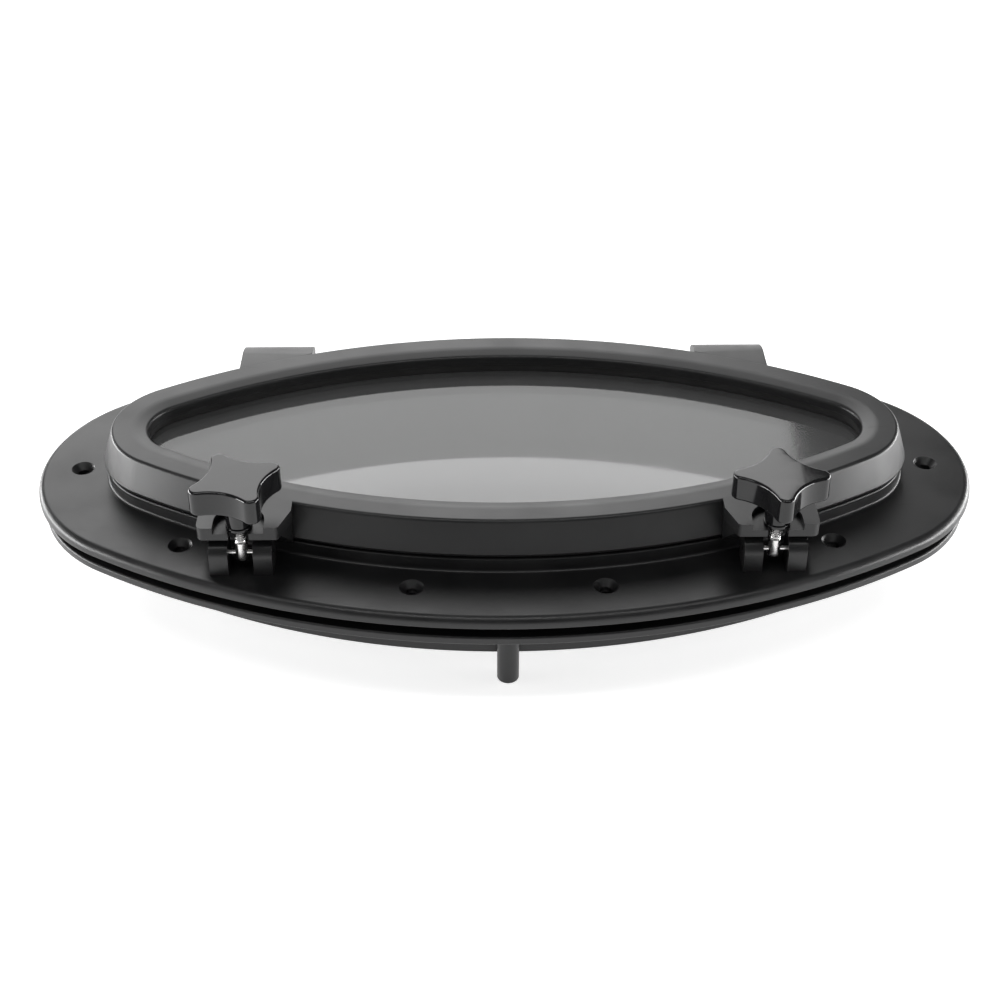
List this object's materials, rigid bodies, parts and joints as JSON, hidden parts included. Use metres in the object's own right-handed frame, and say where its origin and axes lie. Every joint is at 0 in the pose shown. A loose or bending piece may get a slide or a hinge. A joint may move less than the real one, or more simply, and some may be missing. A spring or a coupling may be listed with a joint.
{
  "type": "opening port light",
  "caption": "Oval opening port light: a glazed leaf hinges on a flanged plastic frame, held shut by swing bolts with star knobs, with a clamp ring behind.",
  "frame": {"origin": "middle of the flange's seating face, which is also the middle of the fixing holes", "axes": "+Z out of the wall or deck that the flange lies on, +X along the long axis, +Y towards the hinges"},
  "size_m": [0.44, 0.2312, 0.1062],
  "materials": {
    "black_plastic": "fine matte moulding grain",
    "gloss_black_plastic": "smooth, semi-gloss",
    "clear_glass": "polished, smoke-tinted",
    "black_rubber": "dull",
    "stainless_steel": "turned, bright",
    "brass_insert": "turned"
  },
  "bodies": {
    "frame": {"main_frame": "black_plastic", "drain_tube": "black_plastic", "dog_pin_left": "stainless_steel", "dog_pin_right": "stainless_steel", "hinge_pin_left": "stainless_steel", "hinge_pin_right": "stainless_steel"},
    "clamp_ring": {"clamp_ring": "black_plastic"},
    "leaf": {"leaf_frame": "black_plastic", "glass_pane": "clear_glass", "glass_bed": "black_rubber", "glass_retainer": "black_plastic", "retainer_screws": "stainless_steel", "leaf_seal": "black_rubber"},
    "dog_left": {"swing_bolt_left": "stainless_steel"},
    "washer_left": {"thrust_washer_left": "gloss_black_plastic"},
    "knob_left": {"star_knob_left": "gloss_black_plastic", "knob_insert_left": "brass_insert"},
    "dog_right": {"swing_bolt_right": "stainless_steel"},
    "washer_right": {"thrust_washer_right": "gloss_black_plastic"},
    "knob_right": {"star_knob_right": "gloss_black_plastic", "knob_insert_right": "brass_insert"}
  },
  "joints": [
    {"name": "clamp_ring_slide", "type": "slide", "parent": "frame", "child": "clamp_ring", "axis": [0, 0, 1], "range_m": [-0.028, 0.0055]},
    {"name": "leaf_hinge", "type": "hinge", "parent": "frame", "child": "leaf", "pos_m": [0, 0.0865, 0.0113], "axis": [-1, 0, 0], "range_deg": [0, 115]},
    {"name": "dog_swing_left", "type": "hinge", "parent": "frame", "child": "dog_left", "pos_m": [-0.116, -0.0775, 0.0141], "axis": [1, 0, 0], "range_deg": [0, 65]},
    {"name": "washer_lift_left", "type": "slide", "parent": "dog_left", "child": "washer_left", "axis": [0, 0, 1], "range_m": [0, 0.0042]},
    {"name": "knob_turn_left", "type": "hinge", "parent": "washer_left", "child": "knob_left", "pos_m": [-0.116, -0.0775, 0.029], "axis": [0, 0, 1], "range_deg": [0, 1440]},
    {"name": "dog_swing_right", "type": "hinge", "parent": "frame", "child": "dog_right", "pos_m": [0.116, -0.0775, 0.0141], "axis": [1, 0, 0], "range_deg": [0, 65]},
    {"name": "washer_lift_right", "type": "slide", "parent": "dog_right", "child": "washer_right", "axis": [0, 0, 1], "range_m": [0, 0.0042]},
    {"name": "knob_turn_right", "type": "hinge", "parent": "washer_right", "child": "knob_right", "pos_m": [0.116, -0.0775, 0.029], "axis": [0, 0, 1], "range_deg": [0, 1440]}
  ],
  "couplings": [
    {"joint": "washer_lift_left", "follows": "knob_turn_left", "m_per_rad": 0.00015915},
    {"joint": "washer_lift_right", "follows": "knob_turn_right", "m_per_rad": 0.00015915}
  ]
}
